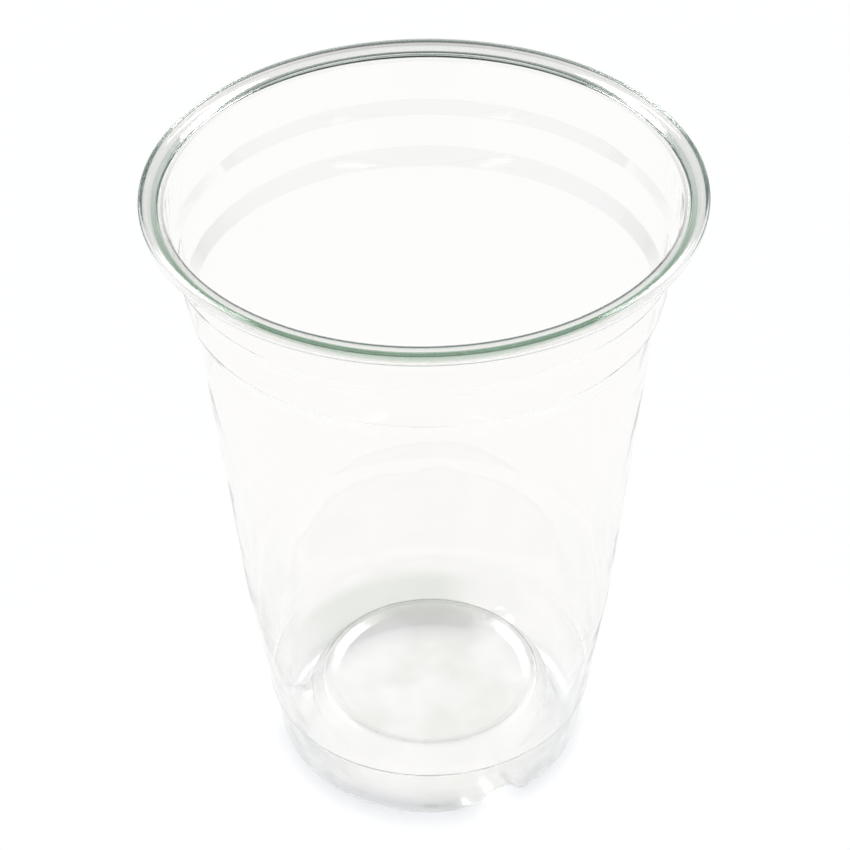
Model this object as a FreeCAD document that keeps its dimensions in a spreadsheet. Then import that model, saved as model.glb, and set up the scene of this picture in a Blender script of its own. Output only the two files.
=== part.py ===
"""Clear plastic drinking cup, thermoformed in one piece from one thin sheet.

Millimetres, +Z up, origin on the table under the centre of the foot. The cup stands on a narrow
ring round a pushed-up floor. Three arched vents cross that ring. The outside is turned as one
solid, the vents are cut out of it, and the solid is shelled to the thickness of the sheet, so
the inside follows the outside everywhere. The rolled lip is then turned on the open mouth.
"""
import FreeCAD, Part
import math
import os
import re
import Sketcher

# Driving sizes: name, value, and what it is on the cup
SIZES = [
    ("sheet_gauge", 0.28, "thickness of the formed sheet"),
    ("cup_height", 126.5, "table to the top of the lip"),
    ("lip_radius", 49.0, "outermost edge of the rolled lip"),
    ("lip_gauge", 0.5, "thickness of the sheet in the lip, where it is stretched least"),
    ("lip_overhang", 4.3, "outside of the wall to the outermost edge of the lip"),
    ("lip_flat", 0.1, "level run on top, between the roll out from the wall and the next"),
    ("lip_outer_round", 1.35, "where the lip rolls down and back underneath"),
    ("curl_round", 0.6, "turn of the curl, back over the lip's lower run"),
    ("curl_return", 3.3, "outermost edge of the lip back to the turn of the curl"),
    ("curl_tail", 0.5, "last straight bit of the sheet, after that turn"),
    ("lid_band_height", 7.37, "band that the lid grips, below the lip"),
    ("lid_band_flare", 0.6, "how much the lid band widens to its top"),
    ("lid_step_run", 1.0, "upper step, inwards"),
    ("lid_step_rise", 2.7, "upper step, height"),
    ("stack_band_height", 6.5, "band between the two steps"),
    ("stack_band_flare", 0.7, "how much that band widens to its top"),
    ("stack_step_run", 1.5, "lower step, inwards"),
    ("stack_step_rise", 3.4, "lower step, height"),
    ("recess_radius", 24.3, "recess under the floor, at the table"),
    ("stand_width", 4.65, "foot across its wall, at the table"),
    ("foot_height", 13.3, "outer wall of the foot"),
    ("foot_flare", 2.0, "how much the foot widens to its top"),
    ("ledge_run", 0.55, "ledge over the foot, outwards"),
    ("ledge_rise", 0.8, "ledge over the foot, height"),
    ("collar_height", 2.5, "nearly upright collar above the ledge"),
    ("collar_flare", 0.2, "how much the collar widens to its top"),
    ("lower_wall_height", 20.8, "lower wall, which flares more than the wall above it"),
    ("lower_wall_flare", 3.0, "how much the lower wall widens to its top"),
    ("crown_height", 11.2, "table to the underside of the ring round the floor"),
    ("recess_lean", 1.2, "how much the side of the recess leans in, going up"),
    ("haunch_drop", 2.6, "top of the recess's side, below the crown"),
    ("haunch_run", 2.2, "slope from the recess's side in to the crown"),
    ("crown_width", 0.9, "flat ring on the crown"),
    ("dish_run", 1.8, "slope from the crown in to the flat floor"),
    ("dish_drop", 0.9, "flat floor below the crown"),
    ("foot_round", 3.2, "outer edge of the standing ring"),
    ("recess_round", 1.4, "inner edge of the standing ring"),
    ("base_round", 0.5, "edges of the floor, haunch and ledge"),
    ("step_round", 1.0, "edges of the two steps under the lid band"),
    ("vent_count", 3, "arched vents across the standing ring"),
    ("vent_azimuth", 27.0, "first vent, degrees to the right of the front"),
    ("vent_height", 4.8, "table to the top of a vent"),
    ("vent_arch", 3.8, "radius of the top of a vent"),
    ("vent_width", 11.6, "width of a vent at its lowest edge"),
    ("vent_round", 1.3, "edges where a vent meets the foot"),
]

doc = FreeCAD.newDocument("disposable_cup")
sheet = doc.addObject("Spreadsheet::Sheet", "sizes")
for row, (name, size, note) in enumerate(SIZES, start=1):
    sheet.set(f"A{row}", name)
    sheet.set(f"B{row}", str(size))
    sheet.setAlias(f"B{row}", name)
    sheet.set(f"C{row}", note)
doc.recompute()

body = doc.addObject("PartDesign::Body", "cup")
body.Label = "cup"


def formula(text):
    """The formula with each size's name pointing at its cell."""
    return re.sub(r"[a-z]+(_[a-z]+)+", lambda name: "sizes." + name.group(), text)


def number(text):
    """What the formula comes to with the sizes as they are."""
    return float(sheet.evalExpression(formula(text)))


def upright_sketch(name):
    """A sketch on the plane through the cup's axis: across is the radius, up is the height."""
    sketch = body.newObject("Sketcher::SketchObject", name)
    plane = next(item for item in body.Origin.OriginFeatures if item.Role == "XZ_Plane")
    sketch.AttachmentSupport = (plane, [""])
    sketch.MapMode = "FlatFace"
    return sketch


def place(sketch, geometry, end, radius, height):
    """Holds one point of the sketch at a radius and a height given by formulas."""
    if radius == "0":
        sketch.addConstraint(Sketcher.Constraint("PointOnObject", geometry, end, -2))
    else:
        across = Sketcher.Constraint("DistanceX", -1, 1, geometry, end, number(radius))
        sketch.setExpression(f"Constraints[{sketch.addConstraint(across)}]", formula(radius))
    if height == "0":
        sketch.addConstraint(Sketcher.Constraint("PointOnObject", geometry, end, -1))
    else:
        upward = Sketcher.Constraint("DistanceY", -1, 1, geometry, end, number(height))
        sketch.setExpression(f"Constraints[{sketch.addConstraint(upward)}]", formula(height))


def set_radius(sketch, arc, radius):
    """Holds an arc's radius at a formula."""
    constraint = Sketcher.Constraint("Radius", arc, number(radius))
    sketch.setExpression(f"Constraints[{sketch.addConstraint(constraint)}]", formula(radius))


def point(radius, height):
    """A point of a sketch, from its radius and its height."""
    return FreeCAD.Vector(number(radius), number(height), 0)


# Radii of the outside, from the table up to the lower wall, then from the lip down
FOOT_LOW = "recess_radius + stand_width"
FOOT_TOP = FOOT_LOW + " + foot_flare"
LEDGE = FOOT_TOP + " + ledge_run"
COLLAR = LEDGE + " + collar_flare"
BELT = COLLAR + " + lower_wall_flare"
MOUTH = "lip_radius - lip_overhang"
LID_LOW = MOUTH + " - lid_band_flare"
STACK_TOP = LID_LOW + " - lid_step_run"
STACK_LOW = STACK_TOP + " - stack_band_flare"
WALL_TOP = STACK_LOW + " - stack_step_run"

# The lip's first roll takes all of the overhang that the flat and the outer roll leave it
INNER_ROLL = "(lip_overhang + sheet_gauge - lip_flat - lip_outer_round)"

# Heights of the same corners. The wall ends at the mouth, where the lip's first roll starts
LEDGE_Z = "foot_height + ledge_rise"
COLLAR_Z = LEDGE_Z + " + collar_height"
BELT_Z = COLLAR_Z + " + lower_wall_height"
MOUTH_Z = "cup_height - " + INNER_ROLL
LID_LOW_Z = MOUTH_Z + " - lid_band_height"
STACK_TOP_Z = LID_LOW_Z + " - lid_step_rise"
STACK_LOW_Z = STACK_TOP_Z + " - stack_band_height"
WALL_TOP_Z = STACK_LOW_Z + " - stack_step_rise"

# The recess under the floor, from its side in to the axis
HAUNCH = "recess_radius - recess_lean"
CROWN_OUTER = HAUNCH + " - haunch_run"
CROWN_INNER = CROWN_OUTER + " - crown_width"
DISH = CROWN_INNER + " - dish_run"
HAUNCH_Z = "crown_height - haunch_drop"
DISH_Z = "crown_height - dish_drop"

# The corners of the outside: radius, height and the round on the corner, "" where it is sharp
CORNERS = [
    ("0", DISH_Z, ""),
    (DISH, DISH_Z, "base_round"),
    (CROWN_INNER, "crown_height", "base_round"),
    (CROWN_OUTER, "crown_height", "base_round"),
    (HAUNCH, HAUNCH_Z, "base_round"),
    ("recess_radius", "0", "min(recess_round; 0.3 * stand_width)"),
    (FOOT_LOW, "0", "min(foot_round; 0.69 * stand_width)"),
    (FOOT_TOP, "foot_height", "base_round"),
    (LEDGE, LEDGE_Z, "base_round"),
    (COLLAR, COLLAR_Z, ""),
    (BELT, BELT_Z, ""),
    (WALL_TOP, WALL_TOP_Z, "step_round"),
    (STACK_LOW, STACK_LOW_Z, "step_round"),
    (STACK_TOP, STACK_TOP_Z, "step_round"),
    (LID_LOW, LID_LOW_Z, "step_round"),
    (MOUTH, MOUTH_Z, ""),
    ("0", MOUTH_Z, ""),
]


def corner_arc(before, corner, after, radius):
    """The arc that rounds a corner between two straight sides, with its two ends."""
    back = (before - corner).normalize()
    onward = (after - corner).normalize()
    half_angle = back.getAngle(onward) / 2
    inward = (back + onward).normalize()
    centre = corner + inward * (radius / math.sin(half_angle))
    first = corner + back * (radius / math.tan(half_angle))
    last = corner + onward * (radius / math.tan(half_angle))
    return Part.Arc(first, centre - inward * radius, last), first, last


def outside_sketch():
    """The closed half section of the whole outside, with the mouth closed by a flat top.

    The sides run straight from corner to corner. A rounded corner is held by a construction
    point that both its sides pass through, and its arc is tangent to both.
    """
    sketch = upright_sketch("outside")
    spots = [point(radius, height) for radius, height, _ in CORNERS]
    starts, stops, arcs = [], [], []
    for index, (_, _, rounding) in enumerate(CORNERS):
        spot = spots[index]
        first = last = spot
        arc = None
        if rounding:
            following = spots[(index + 1) % len(spots)]
            curve, first, last = corner_arc(spots[index - 1], spot, following, number(rounding))
            arc = sketch.addGeometry(curve)
        stops.append(first)
        starts.append(last)
        arcs.append(arc)
    sides = [sketch.addGeometry(Part.LineSegment(start, stops[(index + 1) % len(stops)]))
             for index, start in enumerate(starts)]
    for index, (radius, height, rounding) in enumerate(CORNERS):
        before, after, arc = sides[index - 1], sides[index], arcs[index]
        if not rounding:
            sketch.addConstraint(Sketcher.Constraint("Coincident", before, 2, after, 1))
            place(sketch, after, 1, radius, height)
            continue
        held = sketch.addGeometry(Part.Point(spots[index]), True)
        place(sketch, held, 1, radius, height)
        sketch.addConstraint(Sketcher.Constraint("PointOnObject", held, 1, before))
        sketch.addConstraint(Sketcher.Constraint("PointOnObject", held, 1, after))
        forward = sketch.getPoint(arc, 1).distanceToPoint(stops[index]) < 0.001
        arc_start, arc_end = (1, 2) if forward else (2, 1)
        sketch.addConstraint(Sketcher.Constraint("Tangent", before, 2, arc, arc_start))
        sketch.addConstraint(Sketcher.Constraint("Tangent", arc, arc_end, after, 1))
        set_radius(sketch, arc, rounding)
    return sketch


def turn(name, sketch):
    """The sketch turned once round the cup's axis."""
    turned = body.newObject("PartDesign::Revolution", name)
    turned.Profile = sketch
    turned.ReferenceAxis = (sketch, ["V_Axis"])
    turned.Angle = 360.0
    doc.recompute()
    return turned


def vent_sketch():
    """An arch between two leaning legs, facing outwards at the first vent's azimuth.

    The legs end one sheet below the table. Each leg touches the arch at its lean above the
    horizontal: the angle down to the leg's foot, taken from the one that the arch's radius makes.
    """
    sketch = upright_sketch("vent_arch_outline")
    sketch.AttachmentOffset = FreeCAD.Placement(
        FreeCAD.Vector(0, 0, 0), FreeCAD.Rotation(FreeCAD.Vector(0, 1, 0), number("vent_azimuth")))
    sketch.setExpression("AttachmentOffset.Rotation.Angle", formula("vent_azimuth") + " * 1 deg")
    half = "vent_width / 2"
    centre = point("0", "vent_height - vent_arch")
    low_right = point(half, "-sheet_gauge")
    low_left = FreeCAD.Vector(-low_right.x, low_right.y, 0)
    leg = low_right - centre
    lean = math.acos(number("vent_arch") / leg.Length) + math.atan2(leg.y, leg.x)
    circle = Part.Circle(centre, FreeCAD.Vector(0, 0, 1), number("vent_arch"))
    arch_curve = Part.ArcOfCircle(circle, lean, math.pi - lean)
    arch = sketch.addGeometry(arch_curve)
    left = sketch.addGeometry(Part.LineSegment(arch_curve.EndPoint, low_left))
    bottom = sketch.addGeometry(Part.LineSegment(low_left, low_right))
    right = sketch.addGeometry(Part.LineSegment(low_right, arch_curve.StartPoint))
    sketch.addConstraint(Sketcher.Constraint("Coincident", left, 2, bottom, 1))
    sketch.addConstraint(Sketcher.Constraint("Coincident", bottom, 2, right, 1))
    sketch.addConstraint(Sketcher.Constraint("Symmetric", bottom, 1, bottom, 2, -2))
    place(sketch, bottom, 2, half, "-sheet_gauge")
    place(sketch, arch, 3, "0", "vent_height - vent_arch")
    set_radius(sketch, arch, "vent_arch")
    sketch.addConstraint(Sketcher.Constraint("Tangent", arch, 2, left, 1))
    sketch.addConstraint(Sketcher.Constraint("Tangent", right, 2, arch, 1))
    return sketch


def vent_edges(shape):
    """Names of the edges where a vent's own faces meet the faces turned round the axis."""
    names = []
    for index, edge in enumerate(shape.Edges, start=1):
        faces = shape.ancestorsOfType(edge, Part.Face)
        turned = [abs(face.Surface.Axis.z) > 0.999 for face in faces]
        if len(faces) == 2 and turned[0] != turned[1]:
            names.append(f"Edge{index}")
    return names


# The lip's three rolls, as the sheet travels: centre radius, centre height, radius of the roll.
# Its two faces share the last two centres. The first roll has one for each face, since the sheet
# thickens along it, from the gauge of the wall to that of the lip.
CURL = "lip_radius - curl_return + curl_round"
LAST_ROLLS = [
    ("lip_radius - lip_outer_round", "cup_height - lip_outer_round", "lip_outer_round"),
    (CURL, "cup_height - 2 * lip_outer_round + curl_round", "curl_round"),
]
TOP_ROLLS = [(MOUTH + " - sheet_gauge + " + INNER_ROLL, MOUTH_Z, INNER_ROLL)] + LAST_ROLLS
UNDER_ROLLS = [(MOUTH + " - lip_gauge + " + INNER_ROLL, MOUTH_Z, INNER_ROLL)] + LAST_ROLLS
ROLL_SWEEPS = [(90, 180), (-90, 90), (90, 270)]


def rolled_line(sketch, rolls, inset):
    """One face of the sheet in the lip: out from the wall, down, under, and back over itself.

    Arcs and straight runs take turns, each tangent to the next. Returns the first and the last.
    """
    arcs = []
    for (radius, height, roll), sweep in zip(rolls, ROLL_SWEEPS):
        circle = Part.Circle(point(radius, height), FreeCAD.Vector(0, 0, 1), number(roll + inset))
        from_angle, to_angle = (math.radians(angle) for angle in sweep)
        arc = sketch.addGeometry(Part.ArcOfCircle(circle, from_angle, to_angle))
        place(sketch, arc, 3, radius, height)
        set_radius(sketch, arc, roll + inset)
        if arcs:
            line = Part.LineSegment(sketch.getPoint(arcs[-1], 1), sketch.getPoint(arc, 2))
            run = sketch.addGeometry(line)
            sketch.addConstraint(Sketcher.Constraint("Tangent", arcs[-1], 1, run, 1))
            sketch.addConstraint(Sketcher.Constraint("Tangent", run, 2, arc, 2))
        arcs.append(arc)
    sketch.addConstraint(Sketcher.Constraint("Horizontal", arcs[0], 3, arcs[0], 2))
    begin = sketch.getPoint(arcs[-1], 1)
    reach = FreeCAD.Vector(number("curl_tail"), 0, 0)
    tail = sketch.addGeometry(Part.LineSegment(begin, begin + reach))
    sketch.addConstraint(Sketcher.Constraint("Tangent", arcs[-1], 1, tail, 1))
    sketch.addConstraint(Sketcher.Constraint("Horizontal", tail))
    across = Sketcher.Constraint("DistanceX", tail, 1, tail, 2, number("curl_tail"))
    sketch.setExpression(f"Constraints[{sketch.addConstraint(across)}]", formula("curl_tail"))
    return arcs[0], tail


def lip_sketch():
    """The half section of the rolled lip: the sheet's two faces, joined at the wall and at its end."""
    sketch = upright_sketch("lip_section")
    top = rolled_line(sketch, TOP_ROLLS, "")
    under = rolled_line(sketch, UNDER_ROLLS, " - lip_gauge")
    for first, second in zip(top, under):
        across = Part.LineSegment(sketch.getPoint(first, 2), sketch.getPoint(second, 2))
        closing = sketch.addGeometry(across)
        sketch.addConstraint(Sketcher.Constraint("Coincident", first, 2, closing, 1))
        sketch.addConstraint(Sketcher.Constraint("Coincident", second, 2, closing, 2))
    return sketch


outside = outside_sketch()
blank = turn("blank", outside)
vent = body.newObject("PartDesign::Pocket", "vent")
vent.Profile = vent_sketch()
vent.Reversed = True
vent.setExpression("Length", formula("lip_radius"))
doc.recompute()
vents = body.newObject("PartDesign::PolarPattern", "vents")
vents.Originals = [vent]
vents.Axis = (outside, ["V_Axis"])
vents.Angle = 360.0
vents.setExpression("Occurrences", formula("vent_count"))
body.Tip = vents
doc.recompute()
vent_rims = body.newObject("PartDesign::Fillet", "vent_rims")
vent_rims.Base = (vents, vent_edges(vents.Shape))
vent_rims.setExpression("Radius", formula("vent_round"))
doc.recompute()

mouth = next(index for index, face in enumerate(vent_rims.Shape.Faces, start=1)
             if abs(face.BoundBox.ZMin - number(MOUTH_Z)) < 0.001)
skin = body.newObject("PartDesign::Thickness", "skin")
skin.Base = (vent_rims, [f"Face{mouth}"])
skin.Reversed = True
skin.setExpression("Value", formula("sheet_gauge"))
doc.recompute()

lip = turn("lip", lip_sketch())
body.Tip = lip
body.Placement = FreeCAD.Placement()
doc.recompute()

for item in doc.Objects:
    if "Invalid" in item.State or "Error" in item.State:
        raise RuntimeError(f"{item.Label} did not recompute")
shape = body.Shape
if shape.isNull() or not shape.isValid() or len(shape.Solids) != 1:
    raise RuntimeError("the cup is not one valid solid")
box = shape.optimalBoundingBox(False, False)
print("cup: volume %.0f mm3, height %.2f mm, width %.2f mm" % (
    shape.Volume, box.ZLength, box.XLength))

os.makedirs("parts", exist_ok=True)
shape.exportStep("parts/cup.step")
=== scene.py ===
import math

import bpy
import numpy as np
from mathutils import Matrix, Vector


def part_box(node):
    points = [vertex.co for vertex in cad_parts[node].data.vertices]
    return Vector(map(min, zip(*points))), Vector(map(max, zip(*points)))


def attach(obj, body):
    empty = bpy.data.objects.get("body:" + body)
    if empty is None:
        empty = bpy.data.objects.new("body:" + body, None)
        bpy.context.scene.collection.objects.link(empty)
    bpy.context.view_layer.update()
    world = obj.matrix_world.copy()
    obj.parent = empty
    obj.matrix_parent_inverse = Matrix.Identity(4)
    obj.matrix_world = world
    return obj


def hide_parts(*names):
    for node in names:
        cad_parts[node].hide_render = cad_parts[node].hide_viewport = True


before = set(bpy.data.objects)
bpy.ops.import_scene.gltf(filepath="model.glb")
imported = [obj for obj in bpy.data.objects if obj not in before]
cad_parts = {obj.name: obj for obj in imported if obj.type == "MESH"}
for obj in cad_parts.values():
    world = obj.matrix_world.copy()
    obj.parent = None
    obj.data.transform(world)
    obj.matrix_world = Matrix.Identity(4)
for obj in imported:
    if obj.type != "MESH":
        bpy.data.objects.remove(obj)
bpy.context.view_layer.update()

scene = bpy.context.scene


# The cup. A single sheet of clear PET plastic, thermoformed in one piece: rolled lip, two stepped
# bands, tapered wall, foot ring crossed by three arched vents, and a pushed-up floor. The sheet's
# outer skin is a path turned round the axis, and its other skin is laid off from it by the gauge.
MM = 0.001
box_low, box_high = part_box("cup")
LIP_RADIUS = box_high.x / MM
LIP_TOP = box_high.z / MM - 0.01
LIP_HEIGHT = 2.7
LIP_REACH_IN = 3.3
LIP_ROLL = 2.85
LIP_OUTER_ROUND = 0.85
LIP_SHOULDER = 0.22
CURL_GAP = 0.1
CURL_LENGTH = 0.8

# How thick the sheet is, in millimetres: in the walls, along the lip's roll and in its end. The lip's
# gauge changes with the distance along the path from the lip's highest point.
SHEET = 0.28
LIP_SHEET = 0.5
CURL_SHEET = 0.4
GAUGE_CHANGES = (0.2, 1.2, 3.0, 4.0)
GAUGES = (SHEET, LIP_SHEET, LIP_SHEET, CURL_SHEET)

# Outer skin, in millimetres: radius, height and the round on that corner, from the floor's centre
# under the floor, down into the foot ring, up the outside and round the lip to its cut edge
lip_outside = LIP_RADIUS - LIP_SHEET
lip_shoulder = LIP_TOP - LIP_SHEET + LIP_SHOULDER
lip_inside_low = LIP_TOP - LIP_HEIGHT + CURL_SHEET
curl_inside = LIP_RADIUS - LIP_REACH_IN + CURL_SHEET
curl_high = lip_inside_low + CURL_GAP
OUTER_SKIN = np.array([
    (0.6, 10.3, 0),
    (18.2, 10.3, 0.5),
    (20.0, 11.2, 0.5),
    (20.9, 11.2, 0.5),
    (23.1, 8.6, 0.5),
    (24.3, 0, 1.395),
    (28.95, 0, 3.2),
    (30.95, 13.3, 0.5),
    (31.5, 14.1, 0.5),
    (31.7, 16.6, 0),
    (34.7, 37.4, 0),
    (40.9, 103.4, 1.0),
    (42.4, 106.8, 1.0),
    (43.1, 113.3, 1.0),
    (44.1, 116.0, 1.0),
    (44.85, lip_shoulder, LIP_ROLL),
    (lip_outside, lip_shoulder, LIP_OUTER_ROUND),
    (lip_outside, lip_inside_low, LIP_OUTER_ROUND),
    (curl_inside, lip_inside_low, CURL_GAP / 2 - 0.0001),
    (curl_inside, curl_high, CURL_GAP / 2 - 0.0001),
    (curl_inside + CURL_LENGTH, curl_high, 0),
])


def rounded_path(corners, turn_step, margin):
    """Straight runs from corner to corner, with a tangent arc round each corner that has a round.

    The arc's centre lies on the line that halves the corner, radius / sin(half the angle) from it,
    and the arc starts and ends radius / tan(half the angle) along the sides. Each run also gets a
    point a margin away from each of its ends, so that it stays straight when it is shaded.
    """
    spots = corners[:, :2]
    bends = [spots[:1]]
    for before, spot, after, radius in zip(spots[:-2], spots[1:-1], spots[2:], corners[1:-1, 2]):
        if radius == 0:
            bends.append(spot[None])
            continue
        back = (before - spot) / np.linalg.norm(before - spot)
        onward = (after - spot) / np.linalg.norm(after - spot)
        half = np.arccos(back @ onward) / 2
        start = spot + back * radius / np.tan(half)
        inward = (back + onward) / np.linalg.norm(back + onward)
        centre = spot + inward * radius / np.sin(half)
        turns = 1 + math.ceil((np.pi - 2 * half) / turn_step)
        turn = np.linspace(0, np.pi - 2 * half, turns)[:, None]
        bends.append(centre + (start - centre) * np.cos(turn) - radius * back * np.sin(turn))
    bends.append(spots[-1:])
    pieces = [bends[0]]
    for bend, following in zip(bends[:-1], bends[1:]):
        run = following[0] - bend[-1]
        length = np.linalg.norm(run)
        if length > 2.5 * margin:
            pieces.append(bend[-1] + run * np.array([[margin], [length - margin]]) / length)
        pieces.append(following[int(length < 1e-6):])
    return np.concatenate(pieces)


def filled(path, longest):
    """The path with its long runs divided evenly, so that no step is longer than that length."""
    lengths = np.linalg.norm(np.diff(path, axis=0), axis=1)
    steps = np.maximum(1, np.ceil(lengths / longest)).astype(int)
    spots = [a + (b - a) * np.arange(n)[:, None] / n for a, b, n in zip(path[:-1], path[1:], steps)]
    return np.concatenate(spots + [path[-1:]])


# The vents: arches through the foot ring, with leaning legs and rounded rims. The ring's skin sinks
# into them towards a point in the middle of the ring's section.
VENT_AZIMUTHS = np.radians([27, 147, 267])
VENT_TOP = 4.8
VENT_ARCH = 3.8
VENT_HALF_WIDTH = 5.8
VENT_RIM = 1.3
RING_MIDDLE = np.array([26.6, 9.0])
RING_INSIDE = 23
HALVINGS = 40


def vent_distance(across, height):
    """Distance out of the vent's opening: from its arch, or from its legs, which touch the arch.

    Above the line through the arch's centre and the point where a leg touches it, the distance is
    to the circle. Below it, it is to the leg, a straight line square to that line.
    """
    across, up = np.abs(across), height - (VENT_TOP - VENT_ARCH)
    foot = np.array([VENT_HALF_WIDTH, -SHEET - (VENT_TOP - VENT_ARCH)])
    lean = np.arccos(VENT_ARCH / np.linalg.norm(foot)) + np.arctan2(foot[1], foot[0])
    to_leg = across * np.cos(lean) + up * np.sin(lean) - VENT_ARCH
    to_arch = np.hypot(across, up) - VENT_ARCH
    return np.where(np.arctan2(up, across) > lean, to_arch, to_leg)


def outer_grid(path, azimuths):
    """The outer skin as a grid of points: the path turned round the axis, with the vents pressed in.

    Each point of the foot ring is moved in towards the middle of the ring's section by the least
    distance at which it is out of every vent. Two distances, one below the smooth ring and one out
    of the vent, are joined by a round of the rim's radius: where both are within that radius of
    zero, the root of the sum of their squares takes over. The distance is found by halving.
    """
    radius, height = path[:, :1], path[:, 1:]
    along = np.gradient(path, axis=0)
    along /= np.linalg.norm(along, axis=1, keepdims=True)
    inward = np.stack([-along[:, 1], along[:, 0]], axis=1)
    to_middle = RING_MIDDLE - path
    reach = np.linalg.norm(to_middle, axis=1, keepdims=True)
    to_middle /= reach
    in_ring = (height < RING_MIDDLE[1]) & (radius > RING_INSIDE)
    sinking = np.sum(to_middle * inward, axis=1, keepdims=True)
    turned = azimuths - VENT_AZIMUTHS[:, None]
    nearest = np.argmax(np.cos(turned), axis=0)
    off_vent = np.sin(turned[nearest, np.arange(len(azimuths))])

    low = np.zeros((len(path), len(azimuths)))
    high = low + reach
    for _ in range(HALVINGS):
        moved = (low + high) / 2
        r = radius + moved * to_middle[:, :1]
        z = height + moved * to_middle[:, 1:]
        below_ring = VENT_RIM - moved * sinking
        in_vent = VENT_RIM - vent_distance(r * off_vent, z)
        joined = np.hypot(np.maximum(below_ring, 0), np.maximum(in_vent, 0)) - VENT_RIM
        outside = np.minimum(np.maximum(below_ring, in_vent) - VENT_RIM, -VENT_RIM) + joined + VENT_RIM
        low, high = np.where(outside > 0, moved, low), np.where(outside > 0, high, moved)
    moved = np.where(in_ring & (high > 1e-6), high, 0)
    r = radius + moved * to_middle[:, :1]
    z = height + moved * to_middle[:, 1:]
    return np.stack([r * np.sin(azimuths), -r * np.cos(azimuths), z + 0 * azimuths], axis=2)


def vent_spaced_azimuths(count):
    """Azimuths once round, five times closer together within 15 degrees of a vent than elsewhere."""
    fine = np.linspace(0, 2 * np.pi, 7201)
    nearness = np.max(np.cos(fine - VENT_AZIMUTHS[:, None]), axis=0)
    density = 1 + 4 / (1 + np.exp((np.cos(np.radians(15)) - nearness) * 600))
    share = np.concatenate([[0], np.cumsum(density[:-1])])
    return np.interp(np.arange(count) / count, share / share[-1], fine)


def sheet_mesh(name, outer, gauge, azimuths):
    """A closed mesh of the sheet: the outer grid, and the drink's side one gauge off it.

    The drink's side lies along the cross product of the grid's two directions. Both skins are one
    grid of rows, out along the outer skin and back along the other, closed by a cap at each end.
    """
    around = np.concatenate([outer[:, -1:], outer, outer[:, :1]], axis=1)
    turns = np.concatenate([azimuths[-1:] - 2 * np.pi, azimuths, azimuths[:1] + 2 * np.pi])
    sideways = np.gradient(around, turns, axis=1)[:, 1:-1]
    travelled = np.linalg.norm(np.diff(outer[:, 0], axis=0), axis=1)
    forward = np.gradient(outer, np.concatenate([[0], np.cumsum(travelled)]), axis=0)
    off = np.cross(forward, sideways)
    off /= np.linalg.norm(off, axis=2, keepdims=True)
    rows = np.concatenate([outer, (outer + gauge[:, None, None] * off)[::-1]])
    m, n = rows.shape[:2]
    numbers = np.arange(m * n).reshape(m, n)
    after = np.roll(numbers, -1, axis=1)
    quads = np.stack([numbers[:-1], after[:-1], after[1:], numbers[1:]], axis=2).reshape(-1, 4)
    under, over = m * n, m * n + 1
    first = np.stack([np.full(n, under), after[0], numbers[0]], axis=1)
    last = np.stack([np.full(n, over), numbers[-1], after[-1]], axis=1)
    poles = [(0, 0, outer[0, 0, 2]), (0, 0, outer[0, 0, 2] + SHEET)]
    points = np.concatenate([rows.reshape(-1, 3), poles]) * MM
    mesh = bpy.data.meshes.new(name)
    mesh.from_pydata(points.tolist(), [], quads.tolist() + first.tolist() + last.tolist())
    mesh.polygons.foreach_set("use_smooth", np.ones(len(mesh.polygons), dtype=bool))
    mesh.set_sharp_from_angle(angle=math.radians(50))
    mesh.update()
    return mesh


def plug(tree, socket, value):
    """Links another node's output to the socket, or sets the socket to a plain value or colour."""
    if isinstance(value, bpy.types.NodeSocket):
        tree.links.new(value, socket)
    elif isinstance(value, tuple) and socket.type == "RGBA":
        socket.default_value = (*value, 1)
    else:
        socket.default_value = value


def math_node(tree, operation, first, second=0.0):
    """The result of one operation of arithmetic on two outputs or numbers."""
    node = tree.nodes.new("ShaderNodeMath")
    node.operation = operation
    plug(tree, node.inputs[0], first)
    plug(tree, node.inputs[1], second)
    return node.outputs[0]


def ramp(tree, source, start, end, first=0.0, last=1.0, smooth=False):
    """A value that goes from first to last while the source goes from start to end."""
    node = tree.nodes.new("ShaderNodeMapRange")
    node.interpolation_type = "SMOOTHSTEP" if smooth else "LINEAR"
    for name, value in (("Value", source), ("From Min", start), ("From Max", end),
                        ("To Min", first), ("To Max", last)):
        plug(tree, node.inputs[name], value)
    return node.outputs["Result"]


def colour_mix(tree, share, first, second, blend="MIX"):
    """The second colour over the first by that share."""
    node = tree.nodes.new("ShaderNodeMix")
    node.data_type = "RGBA"
    node.blend_type = blend
    for name, value in (("Factor", share), ("A", first), ("B", second)):
        plug(tree, node.inputs[name], value)
    return node.outputs["Result"]


def noise(tree, vector, scale, detail):
    """Soft noise of that many features to a metre."""
    node = tree.nodes.new("ShaderNodeTexNoise")
    plug(tree, node.inputs["Vector"], vector)
    plug(tree, node.inputs["Scale"], scale)
    plug(tree, node.inputs["Detail"], detail)
    return node.outputs["Fac"]


# Colours that the sheet gives to what is seen through it: plain; in the lip's folded end, its own tint
# with a painted dark reflection added at the front; a painted shade inside the back of the foot; and
# in the clouds of the foot and floor
PLAIN = (0.995, 0.982, 0.978)
FOLDED_AND_REFLECTED = (0.53, 0.66, 0.56)
PAINTED_SHADE = (0.77, 0.80, 0.755)
CLOUDED = (0.87, 0.865, 0.845)
LET_THROUGH = (0.955, 0.965, 0.965)
DEPTH_COLOUR = (0.55, 0.85, 0.70)
DEPTH_DENSITY = 22
PET_IOR = 1.57


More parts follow.
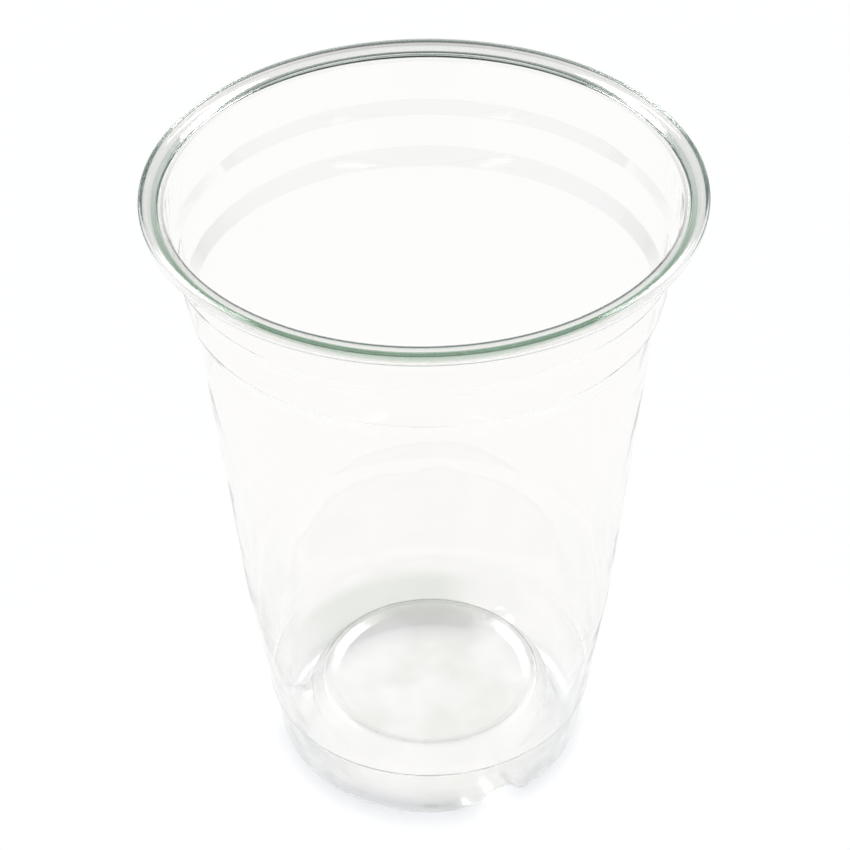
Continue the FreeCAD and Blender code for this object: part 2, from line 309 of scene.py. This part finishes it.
def clear_plastic():
    """Clear PET: glass-like, faintly grey-green in its depth, and less clear towards the foot.

    Roughness and the depth of the waves fall off with height above the foot. The colour changes in
    the lip's folded end, which is a ring given by its heights and radii: a grey-green tint there, with
    a painted dark reflection that makes it strongest at the front. A painted shade darkens a patch
    inside the back of the foot, and clouds over the foot are thickest on the floor. Lamps shine
    through the sheet, which takes only a little of their light.
    """
    material = bpy.data.materials.new("clear_plastic")
    material.use_nodes = True
    tree = material.node_tree
    nodes, links = tree.nodes, tree.links
    shader = nodes["Principled BSDF"]
    place = nodes.new("ShaderNodeTexCoord").outputs["Object"]
    parts = nodes.new("ShaderNodeSeparateXYZ")
    links.new(place, parts.inputs[0])
    x, y, z = parts.outputs
    flat = nodes.new("ShaderNodeVectorMath")
    flat.operation = "MULTIPLY"
    flat.inputs[1].default_value = (1, 1, 0)
    links.new(place, flat.inputs[0])
    length = nodes.new("ShaderNodeVectorMath")
    length.operation = "LENGTH"
    links.new(flat.outputs[0], length.inputs[0])
    radius = length.outputs["Value"]

    def overlap(*shares):
        """The product of the shares."""
        total = shares[0]
        for share in shares[1:]:
            total = math_node(tree, "MULTIPLY", total, share)
        return total

    links.new(ramp(tree, z, 0.012, 0.034, 0.17, 0.015, smooth=True), shader.inputs["Roughness"])
    bump = nodes.new("ShaderNodeBump")
    bump.inputs["Distance"].default_value = 0.0012
    links.new(ramp(tree, z, 0.010, 0.040, 0.36, 0.03, smooth=True), bump.inputs["Strength"])
    links.new(noise(tree, place, 95, 1.5), bump.inputs["Height"])
    links.new(bump.outputs["Normal"], shader.inputs["Normal"])

    # The lip's folded end: its own grey-green tint, plus a painted dark reflection. It is at full
    # strength at the front and a fifth of that at the back.
    folded_and_reflected = overlap(
        ramp(tree, z, (LIP_TOP - 1.75) * MM, (LIP_TOP - 1.79) * MM),
        ramp(tree, z, (LIP_TOP - 2.75) * MM, (LIP_TOP - 2.70) * MM),
        ramp(tree, radius, (LIP_RADIUS - 1.5) * MM, (LIP_RADIUS - 1.65) * MM),
        ramp(tree, radius, (LIP_RADIUS - 3.60) * MM, (LIP_RADIUS - 3.45) * MM),
        ramp(tree, y, 0.01, -0.04, first=0.2, smooth=True))
    # Painted shade: a grey-green darkening low in the back of the foot ring, more on the left,
    # standing in for the shadowed floor seen through it
    painted_shade = overlap(
        ramp(tree, z, 0.0125, 0.0080, smooth=True),
        ramp(tree, y, 0.008, 0.024, smooth=True),
        ramp(tree, x, 0.013, 0.001, smooth=True),
        ramp(tree, radius, 0.0265, 0.0290, smooth=True))
    clouds = overlap(
        ramp(tree, noise(tree, place, 70, 2), 0.38, 0.58, first=0.25),
        ramp(tree, z, 0.0140, 0.0125),
        ramp(tree, radius, 0.0215, 0.0190, first=0.42))
    colour = colour_mix(tree, folded_and_reflected, PLAIN, FOLDED_AND_REFLECTED)
    colour = colour_mix(tree, painted_shade, colour, PAINTED_SHADE)
    colour = colour_mix(tree, clouds, colour, CLOUDED)
    links.new(colour, shader.inputs["Base Color"])
    shader.inputs["IOR"].default_value = PET_IOR
    shader.inputs["Transmission Weight"].default_value = 1

    through = nodes.new("ShaderNodeBsdfTransparent")
    through.inputs["Color"].default_value = (*LET_THROUGH, 1)
    mix = nodes.new("ShaderNodeMixShader")
    links.new(nodes.new("ShaderNodeLightPath").outputs["Is Shadow Ray"], mix.inputs["Fac"])
    links.new(shader.outputs["BSDF"], mix.inputs[1])
    links.new(through.outputs["BSDF"], mix.inputs[2])
    links.new(mix.outputs["Shader"], nodes["Material Output"].inputs["Surface"])
    depth = nodes.new("ShaderNodeVolumeAbsorption")
    depth.inputs["Color"].default_value = (*DEPTH_COLOUR, 1)
    depth.inputs["Density"].default_value = DEPTH_DENSITY
    links.new(depth.outputs["Volume"], nodes["Material Output"].inputs["Volume"])
    return material


# How fine the mesh is, in degrees of turn, millimetres of path and points once round
TURN_STEP = 11
SHADING_MARGIN = 0.25
RING_STEP = 0.45
LONGEST_STEP = 9
AROUND = 272

azimuths = vent_spaced_azimuths(AROUND)
path = rounded_path(OUTER_SKIN, math.radians(TURN_STEP), SHADING_MARGIN)
ring = (path[:, 1] < 7.5) & (path[:, 0] > 22.9)
first, last = np.flatnonzero(ring)[[0, -1]]
path = np.concatenate([path[:first], filled(path[first:last + 2], RING_STEP), path[last + 2:]])
path = filled(path, LONGEST_STEP)
travel = np.concatenate([[0], np.cumsum(np.linalg.norm(np.diff(path, axis=0), axis=1))])
lip_travel = travel - travel[np.argmax(path[:, 1])]
gauge = np.interp(lip_travel, GAUGE_CHANGES, GAUGES)
cup = bpy.data.objects.new(
    "clear_cup", sheet_mesh("clear_cup", outer_grid(path, azimuths), gauge, azimuths))
scene.collection.objects.link(cup)
cup.data.materials.append(clear_plastic())
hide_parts("cup")
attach(cup, "root")


# The table: a wide sheet of plain white card. It shows white to the camera and through the cup,
# and takes the cup's soft shadow. What the cup mirrors of it ends at the card's edges.
TABLE_SIZE = 6.0
SHOWN_WHITE = 0.85
CARD_GREY = (0.9, 0.9, 0.9)
CARD_SIDE = 1.3
CARD_FRONT = -0.60
CARD_BACK = 0.26
CARD_FADE = 0.12
BEYOND_CARD = 0.12
CONTACT_REACH = 0.004
CONTACT_SHADE = (0.74, 0.74, 0.78)
WHITE = (1, 1, 1)


def white_card():
    """White card lit by the lamps, mixed with a plain white for the camera and for clear things.

    Clear things see the card only as far as its real edge: its distance beyond that edge, the larger
    of the two along the card's sides, darkens what they see. Right under the cup's foot, where
    little light gets in, the white is shaded.
    """
    material = bpy.data.materials.new("white_card")
    material.use_nodes = True
    tree = material.node_tree
    nodes, links = tree.nodes, tree.links
    nodes.remove(nodes["Principled BSDF"])
    parts = nodes.new("ShaderNodeSeparateXYZ")
    links.new(nodes.new("ShaderNodeNewGeometry").outputs["Position"], parts.inputs[0])
    x, y, _ = parts.outputs
    aside = math_node(tree, "SUBTRACT", math_node(tree, "ABSOLUTE", x), CARD_SIDE)
    middle = math_node(tree, "SUBTRACT", y, (CARD_BACK + CARD_FRONT) / 2)
    half = (CARD_BACK - CARD_FRONT) / 2
    along = math_node(tree, "SUBTRACT", math_node(tree, "ABSOLUTE", middle), half)
    past_edge = math_node(tree, "MAXIMUM", aside, along)
    beyond = ramp(tree, past_edge, 0, CARD_FADE, 1, BEYOND_CARD, smooth=True)

    ray = nodes.new("ShaderNodeLightPath").outputs
    clear = math_node(tree, "MAXIMUM", ray["Is Glossy Ray"], ray["Is Transmission Ray"])
    seen = math_node(tree, "MAXIMUM", ray["Is Camera Ray"], clear)
    near = nodes.new("ShaderNodeAmbientOcclusion")
    near.samples = 2
    near.inputs["Distance"].default_value = CONTACT_REACH
    contact = colour_mix(tree, near.outputs["AO"], CONTACT_SHADE, WHITE)
    faded = colour_mix(tree, 1, contact, beyond, "MULTIPLY")
    tone = colour_mix(tree, clear, contact, faded)
    card = nodes.new("ShaderNodeBsdfDiffuse")
    links.new(colour_mix(tree, 1, CARD_GREY, tone, "MULTIPLY"), card.inputs["Color"])
    white = nodes.new("ShaderNodeEmission")
    links.new(tone, white.inputs["Color"])
    mix = nodes.new("ShaderNodeMixShader")
    links.new(math_node(tree, "MULTIPLY", seen, SHOWN_WHITE), mix.inputs["Fac"])
    links.new(card.outputs[0], mix.inputs[1])
    links.new(white.outputs[0], mix.inputs[2])
    links.new(mix.outputs[0], nodes["Material Output"].inputs["Surface"])
    return material


table_mesh = bpy.data.meshes.new("table")
side = TABLE_SIZE / 2
table_mesh.from_pydata(
    [(-side, -side, 0), (side, -side, 0), (side, side, 0), (-side, side, 0)], [], [(0, 1, 2, 3)])
table = bpy.data.objects.new("table", table_mesh)
scene.collection.objects.link(table)
table_mesh.materials.append(white_card())


# The room: white to the camera, and grey to clear things, darker behind the cup and overhead
ROOM_FRONT = (0.40, 0.46, 0.43)
ROOM_BACK = (0.20, 0.32, 0.27)
ROOM_HIGH = (0.17, 0.24, 0.215)

world = bpy.data.worlds.new("studio")
scene.world = world
world.use_nodes = True
tree = world.node_tree
parts = tree.nodes.new("ShaderNodeSeparateXYZ")
tree.links.new(tree.nodes.new("ShaderNodeTexCoord").outputs["Generated"], parts.inputs[0])
_, forward, upward = parts.outputs
low_room = colour_mix(tree, ramp(tree, forward, -0.3, 0.3, smooth=True), ROOM_FRONT, ROOM_BACK)
room = colour_mix(tree, ramp(tree, upward, 0.10, 0.50, smooth=True), low_room, ROOM_HIGH)
to_camera = tree.nodes.new("ShaderNodeLightPath").outputs["Is Camera Ray"]
tree.links.new(colour_mix(tree, to_camera, room, WHITE), tree.nodes["Background"].inputs["Color"])


# The lamps: a softbox on each side, behind the cup and above it
def soft_lamp(name, place, target, width, height, power):
    """A softbox: a rectangle of even light that faces its target."""
    light = bpy.data.lights.new(name, "AREA")
    light.shape = "RECTANGLE"
    light.size, light.size_y = width, height
    light.energy = power
    lamp = bpy.data.objects.new(name, light)
    lamp.location = place
    lamp.rotation_mode = "QUATERNION"
    lamp.rotation_quaternion = (Vector(target) - Vector(place)).to_track_quat("-Z", "Y")
    scene.collection.objects.link(lamp)


soft_lamp("left_softbox", (-1.0, 0.5, 1.1), (0, 0, 0.05), 0.6, 0.9, 15)
soft_lamp("right_softbox", (1.0, 0.5, 1.1), (0, 0, 0.05), 0.6, 0.9, 15)

# Enough bounces for light that is led along inside the lip to come out again
scene.cycles.max_bounces = 24
scene.cycles.transmission_bounces = 24
scene.cycles.glossy_bounces = 24


# The camera: in front of the cup and above it, looking down into the mouth
CAMERA_PLACE = (0, -0.3870, 0.3828)
PITCH_DOWN = math.radians(38.64)
YAW = math.radians(-0.05)
ROLL = math.radians(-0.75)
FRAME_PIXELS = 850
FOCAL_PIXELS = 2700

lens = bpy.data.cameras.new("camera")
lens.sensor_width = 36
lens.lens = lens.sensor_width * FOCAL_PIXELS / FRAME_PIXELS
lens.clip_start = 0.01
camera = bpy.data.objects.new("camera", lens)
camera.matrix_world = (
    Matrix.Translation(CAMERA_PLACE)
    @ Matrix.Rotation(-YAW, 4, "Z")
    @ Matrix.Rotation(math.pi / 2 - PITCH_DOWN, 4, "X")
    @ Matrix.Rotation(ROLL, 4, "Z"))
scene.collection.objects.link(camera)
scene.camera = camera
scene.view_settings.view_transform = "Standard"
